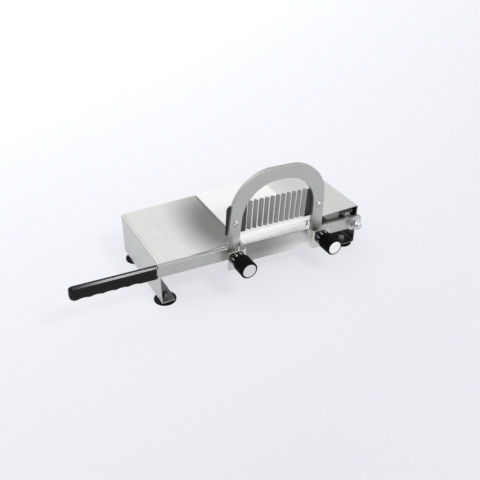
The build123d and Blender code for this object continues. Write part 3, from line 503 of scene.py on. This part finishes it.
turned_bar = new_material("bright_turned_steel")
specks, bar_colour = speckled(turned_bar, 1.5, "#CCCCCC", "#D8D8D8")
shine = add(turned_bar, "ShaderNodeMapRange", {0: specks, 3: 0.34, 4: 0.40})
finish_material(turned_bar, add(turned_bar, "ShaderNodeBsdfPrincipled", {
    "Base Color": bar_colour, "Metallic": 1.0, "Roughness": shine.outputs[0],
}))
dress(turned_bar, "blade_screws", "blade_nuts", "board_screws", "bracket_bolt", "bracket_nut",
      "bracket_side_screws", "bracket_side_nuts", "pivot_pin", "pivot_spacer", "pivot_washer",
      "left_retaining_ring", "right_retaining_ring")

# %% [markdown]
# The two studs that the knobs run on are threaded rod. A modelled thread would cost thousands of
# faces for a few millimetres that show, so a wave texture along the axis draws the thread at the
# real pitch of 1.25 mm: its shape in the bump, and in the colour painted shade in the valleys and
# a painted highlight on the crests. Blender's wave repeats every 2 pi / 20 of its scaled length,
# which is where the 20 comes from.

# %% Threaded rod
THREAD_PITCH, THREAD_DEPTH = 1.25 * MM, 0.5 * MM
threaded_bar = new_material("threaded_steel_rod")
along = add(threaded_bar, "ShaderNodeTexCoord").outputs["Object"]
bands = add(threaded_bar, "ShaderNodeTexWave",
            {"Vector": along, "Scale": 2 * math.pi / (20 * THREAD_PITCH)},
            wave_type="BANDS", bands_direction="Y", wave_profile="TRI").outputs["Fac"]
# Painted shade in the thread's valleys and painted highlight on its crests.
thread_shading = add(threaded_bar, "ShaderNodeMix", {0: bands, 6: paint("#4C4C4D"), 7: paint("#A0A0A1")},
             data_type="RGBA")
ridges = add(threaded_bar, "ShaderNodeBump",
             {"Height": bands, "Strength": 1.0, "Distance": THREAD_DEPTH})
finish_material(threaded_bar, add(threaded_bar, "ShaderNodeBsdfPrincipled", {
    "Base Color": thread_shading.outputs[2], "Metallic": 1.0, "Roughness": 0.28,
    "Normal": ridges.outputs[0],
}))
dress(threaded_bar, "left_stud", "right_stud")

# %% [markdown]
# The feet's studs and nuts are zinc plated, which is paler and duller than turned steel and has a
# slightly larger grain. Towards the handle's end they are painted darker, as painted shade, so a
# ramp along X darkens them there.

# %% Zinc plating
zinc = new_material("dull_zinc_plating")
_, zinc_colour = speckled(zinc, 2.5, "#E4E4E4", "#F2F2F2")
# Painted shade, darker towards the handle's end.
handle_end_shade = ramp_along(zinc, "X", low_bench.x + 60 * MM, high_bench.x - 60 * MM, 0.16, 1.0)
zinc_colour = add(zinc, "ShaderNodeVectorMath", {0: zinc_colour, 3: handle_end_shade}, operation="SCALE")
finish_material(zinc, add(zinc, "ShaderNodeBsdfPrincipled", {
    "Base Color": zinc_colour.outputs[0], "Metallic": 1.0, "Roughness": 0.38,
}))
dress(zinc, "foot_studs", "foot_nuts")

# %% [markdown]
# The domed nut at the pivot is polished and nickel plated, and mirrors the studio. Polishing
# leaves faint waves of about 6 mm, which only show in the sharpness of the reflection, so a noise
# turns the roughness and nothing else. The sleeves of the knobs and the bush of the pivot are
# brass under the same plating, turned and not polished, so a little warmth comes through and the
# mirror is gone.

# %% Nickel plating
plated = new_material("polished_nickel_plating")
nut_place = add(plated, "ShaderNodeTexCoord").outputs["Object"]
ripple = add(plated, "ShaderNodeTexNoise",
             {"Vector": nut_place, "Scale": 1 / (6 * MM), "Detail": 1.0})
polish = add(plated, "ShaderNodeMapRange", {0: ripple.outputs["Fac"], 3: 0.07, 4: 0.14})
finish_material(plated, add(plated, "ShaderNodeBsdfPrincipled", {
    "Base Color": paint("#D6D6D6"), "Metallic": 1.0, "Roughness": polish.outputs[0],
}))
dress(plated, "acorn_nut")

brass = new_material("nickel_plated_brass")
_, brass_colour = speckled(brass, 1.2, "#9C9A94", "#BEBCB6")
finish_material(brass, add(brass, "ShaderNodeBsdfPrincipled", {
    "Base Color": brass_colour, "Metallic": 1.0, "Roughness": 0.28,
}))
dress(brass, "left_knob_sleeve", "right_knob_sleeve", "pivot_bush")

# %% [markdown]
# The board is white polyethylene, milled from a block: fully matt, very slightly warm, a little
# translucent, and crossed by hair-fine knife marks that catch the light. The knife marks are a
# noise that is stretched 60 mm along the cut and only 0.8 mm across it. A real mark is finer
# still and wouldn't show. Subsurface scattering lets the light in by 2 mm, which softens the
# edges of the nose.

# %% Cutting board
CUT_LENGTH, CUT_WIDTH, CUT_DEPTH = 60 * MM, 0.8 * MM, 0.08 * MM
CUT_ANGLE = math.radians(8)
board_plastic = new_material("white_polyethylene")
board_place = add(board_plastic, "ShaderNodeTexCoord").outputs["Object"]
across = add(board_plastic, "ShaderNodeMapping", {
    "Vector": board_place, "Rotation": (0, 0, CUT_ANGLE),
    "Scale": (1 / CUT_LENGTH, 1 / CUT_WIDTH, 1 / CUT_LENGTH),
})
knife = add(board_plastic, "ShaderNodeTexNoise",
            {"Vector": across.outputs[0], "Scale": 1.0, "Detail": 4.0})
marks = add(board_plastic, "ShaderNodeMapRange",
            {0: knife.outputs["Fac"], 1: 0.60, 2: 0.70}).outputs[0]
board_colour = add(board_plastic, "ShaderNodeMix",
                   {0: marks, 6: paint("#EFEFEE"), 7: paint("#E4E4E1")}, data_type="RGBA")
scratches = add(board_plastic, "ShaderNodeBump",
                {"Height": marks, "Strength": 0.3, "Distance": CUT_DEPTH}, invert=True)
finish_material(board_plastic, add(board_plastic, "ShaderNodeBsdfPrincipled", {
    "Base Color": board_colour.outputs[2], "Roughness": 0.48, "IOR": 1.51,
    "Normal": scratches.outputs[0], "Subsurface Weight": 0.12,
    "Subsurface Radius": (1.0, 1.0, 1.0), "Subsurface Scale": 2.0 * MM,
}))
dress(board_plastic, "cutting_board")

# %% [markdown]
# Handle and knobs are black glass-filled nylon. The mould gives it a fine leathery grain of about
# half a millimetre, drawn as it is and felt mostly in the bump, which blurs every highlight into
# a soft grey line along the edges. The knobs are deeper grained and duller than the handle. The
# scale rings are moulded smoother, so that their printed figures stay sharp. The feet are rubber,
# with a coarser grain and little shine. One recipe serves all four.

# %% Recipe for moulded black plastic and rubber
SHEEN_SIZE = 18 * MM


def black_plastic(material, dark, light, grain_mm, depth_mm, roughness, gloss, polish=None):
    """Fill a material with grained black. POLISH is a clear shine on top, as a share of 1."""
    grain, colour = speckled(material, grain_mm, dark, light, 3.0, 0.6)
    place = add(material, "ShaderNodeTexCoord").outputs["Object"]
    sheen = add(material, "ShaderNodeTexNoise",
                {"Vector": place, "Scale": 1 / SHEEN_SIZE, "Detail": 2.0})
    worn = add(material, "ShaderNodeMapRange", {
        0: sheen.outputs["Fac"], 1: 0.3, 2: 0.7, 3: roughness - 0.02, 4: roughness + 0.03,
    })
    bump = add(material, "ShaderNodeBump",
               {"Height": grain, "Strength": 0.5, "Distance": depth_mm * MM}).outputs[0]
    coat = {}
    if polish is not None:
        coat = {"Coat Weight": polish, "Coat Roughness": roughness, "Coat Normal": bump}
    shader = add(material, "ShaderNodeBsdfPrincipled", {
        "Base Color": colour, "Roughness": worn.outputs[0], "Specular IOR Level": gloss,
        "Normal": bump, **coat,
    })
    return finish_material(material, shader)


# %% [markdown]
# Hands have polished the handle's front bevel, a band a little over 2 mm deep that shines
# brighter than the faces beside it and fades towards the far end. The polish is a clear coat,
# weighed by two ramps across the bevel and one along the handle. It could be a higher specular
# level instead, but that doesn't survive the export.

# %% Handle, knobs, scale rings and feet
BEVEL_DEPTH, POLISH_WEIGHT = 2.1 * MM, 0.95
grip_nylon = new_material("grained_black_nylon")
grip_end, grip_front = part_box("handle_grip")[0].x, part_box("handle_grip")[0].y
bevel_end = grip_front + BEVEL_DEPTH
past_front = ramp_along(grip_nylon, "Y", grip_front + 0.05 * MM, grip_front + 0.3 * MM, 0.0, 1.0)
before_top = ramp_along(grip_nylon, "Y", bevel_end, bevel_end + 0.4 * MM, 1.0, 0.0)
held = ramp_along(grip_nylon, "X", grip_end + 2 * MM, grip_end + 55 * MM, 0.0, 1.0)
hand_polish = join_shades(grip_nylon, "MULTIPLY", held, past_front, before_top,
                          POLISH_WEIGHT)
black_plastic(grip_nylon, "#181818", "#1D1D1D", grain_mm=0.5, depth_mm=0.002, roughness=0.25,
              gloss=0.12, polish=hand_polish)
dress(grip_nylon, "handle_grip")
knob_nylon = new_material("black_knob_nylon")
black_plastic(knob_nylon, "#020202", "#050505", grain_mm=0.5, depth_mm=0.02, roughness=0.42,
              gloss=0.05)
dress(knob_nylon, "left_knob_grip", "right_knob_grip")
ring_nylon = new_material("smooth_black_nylon")
black_plastic(ring_nylon, "#040404", "#070707", grain_mm=0.8, depth_mm=0.01, roughness=0.34,
              gloss=0.07)
dress(ring_nylon, "left_scale_ring", "right_scale_ring")
foot_rubber = new_material("black_foot_rubber")
black_plastic(foot_rubber, "#070707", "#0C0C0C", grain_mm=1.2, depth_mm=0.04, roughness=0.62,
              gloss=0.15)
dress(foot_rubber, "foot_front_left", "foot_front_right", "foot_rear_left", "foot_rear_right")

# %% [markdown]
# A pale disc closes each knob. It is moulded ABS, nearly white, with a fine matt grain. The left
# one is painted a little greyer, as painted shade, so one ramp along X, from one cap to the other,
# sets both.

# %% Caps of the knobs
cap_plastic = new_material("ivory_white_cap")
cap_grain, cap_colour = speckled(cap_plastic, 0.6, "#F4F4F4", "#FEFEFD")
left_cap, right_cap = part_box("left_knob_cap")[1].x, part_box("right_knob_cap")[0].x
# Painted shade on the left cap.
left_cap_shade = ramp_along(cap_plastic, "X", left_cap, right_cap, 0.74, 1.0)
cap_colour = add(cap_plastic, "ShaderNodeVectorMath", {0: cap_colour, 3: left_cap_shade},
                 operation="SCALE")
cap_bump = add(cap_plastic, "ShaderNodeBump",
               {"Height": cap_grain, "Strength": 0.3, "Distance": 0.02 * MM})
finish_material(cap_plastic, add(cap_plastic, "ShaderNodeBsdfPrincipled", {
    "Base Color": cap_colour.outputs[0], "Roughness": 0.42, "IOR": 1.5,
    "Normal": cap_bump.outputs[0],
}))
dress(cap_plastic, "left_knob_cap", "right_knob_cap")

# %% [markdown]
# Each scale ring carries ten figures and twenty ticks, one figure per 0.125 mm of feed. They
# could be an image, but as thin meshes they stay sharp and go with the model. The print itself is
# white ink with faint thin spots.

# %% Ink of the scales
scale_print = new_material("white_scale_print")
_, print_colour = speckled(scale_print, 0.4, "#BCBCBC", "#DEDEDE")
finish_material(scale_print, add(scale_print, "ShaderNodeBsdfPrincipled",
                                 {"Base Color": print_colour, "Roughness": 0.5}))
print(scale_print.name, "ready for the scales")

# %% [markdown]
# The ticks and figures are first laid out flat, as a strip as long as the ring's circumference.
# Each is 0.16 mm thick, with half of that inside the ring, so the ink stands 0.08 mm proud. A
# figure starts as text with its strokes thickened, and is then cut upright in five places, so
# that it has points to bend at.

# %% Flat ticks and figures
PRINT_DEPTH = 0.16 * MM
STROKE_SWELL = 0.13 * MM
BEND_CUTS_MM = (-1.2, -0.6, 0.0, 0.6, 1.2)


def flat_tick(x, z, length, width):
    """One upright tick of the strip, as a thin bar."""
    bpy.ops.mesh.primitive_cube_add(size=1, location=(x, 0, z))
    tick = bpy.context.object
    tick.scale = (width, PRINT_DEPTH, length)
    bpy.ops.object.transform_apply(location=True, rotation=True, scale=True)
    return tick


def flat_figure(text, x, z, height):
    """One figure of the strip, as a mesh that faces the front."""
    bpy.ops.object.text_add(location=(x, 0, z), rotation=(math.radians(90), 0, 0))
    figure = bpy.context.object
    figure.data.body = text
    figure.data.align_x = "CENTER"
    figure.data.align_y = "CENTER"
    figure.data.size = height
    figure.data.offset = STROKE_SWELL
    figure.data.extrude = PRINT_DEPTH / 2
    figure.data.resolution_u = 3
    bpy.ops.object.convert(target="MESH")
    bpy.ops.object.transform_apply(location=True, rotation=True, scale=True)
    bpy.ops.object.mode_set(mode="EDIT")
    for offset in BEND_CUTS_MM:
        bpy.ops.mesh.select_all(action="SELECT")
        bpy.ops.mesh.bisect(plane_co=(x + offset * MM, 0, 0), plane_no=(1, 0, 0))
    bpy.ops.object.mode_set(mode="OBJECT")
    return bpy.context.object


# %% [markdown]
# The strip is wrapped with a Simple Deform modifier set to Bend: a full turn closes it round an
# axis that lies one radius behind it. Placing each figure on the ring by hand would work too, but
# each would stay flat on a round face. Each scale rides on its knob, so the figures turn with it.

# %% Printed scales of the knobs
left_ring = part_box("left_scale_ring")
RING_RADIUS = (left_ring[1].x - left_ring[0].x) / 2
STEPS = 20
FIGURE_HEIGHT, FIGURE_PLACE = 5.4 * MM, -1.2 * MM
LONG_TICK = (3.0 * MM, 2.8 * MM, 0.8 * MM)  # height of its middle, length, width
SHORT_TICK = (3.6 * MM, 1.6 * MM, 0.5 * MM)


def printed_scale(side):
    """The wrapped scale of one knob."""
    girth = 2 * math.pi * RING_RADIUS
    parts = []
    for step in range(STEPS):
        x = (step - STEPS / 2 + 0.5) / STEPS * girth
        has_figure = step % 2 == 0
        parts.append(flat_tick(x, *(LONG_TICK if has_figure else SHORT_TICK)))
        if has_figure:
            parts.append(flat_figure(str(step // 2), x, FIGURE_PLACE, FIGURE_HEIGHT))
    bpy.ops.object.select_all(action="DESELECT")
    for part in parts:
        part.select_set(True)
    bpy.context.view_layer.objects.active = parts[0]
    bpy.ops.object.join()
    strip = bpy.context.object
    strip.name = side + "_knob_scale"
    bend = strip.modifiers.new("wrap", "SIMPLE_DEFORM")
    bend.deform_method = "BEND"
    bend.deform_axis = "Z"
    bend.angle = strip.dimensions.x / RING_RADIUS
    bpy.ops.object.modifier_apply(modifier="wrap")
    low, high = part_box(side + "_scale_ring")
    lay_down = Matrix.Rotation(math.radians(-90), 4, "X")
    to_ring = Matrix.Translation((low + high) / 2) @ lay_down
    strip.matrix_world = to_ring @ Matrix.Translation((0, -RING_RADIUS, 0))
    bpy.ops.object.transform_apply(location=True, rotation=True, scale=True)
    strip.data.materials.clear()
    strip.data.materials.append(scale_print)
    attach(strip, side + "_knob")
    bpy.ops.object.select_all(action="DESELECT")
    return strip


for side in ("left", "right"):
    made = printed_scale(side)
    size_mm = [round(v / MM, 1) for v in made.dimensions]
    print(made.name, len(made.data.vertices), "vertices", size_mm)
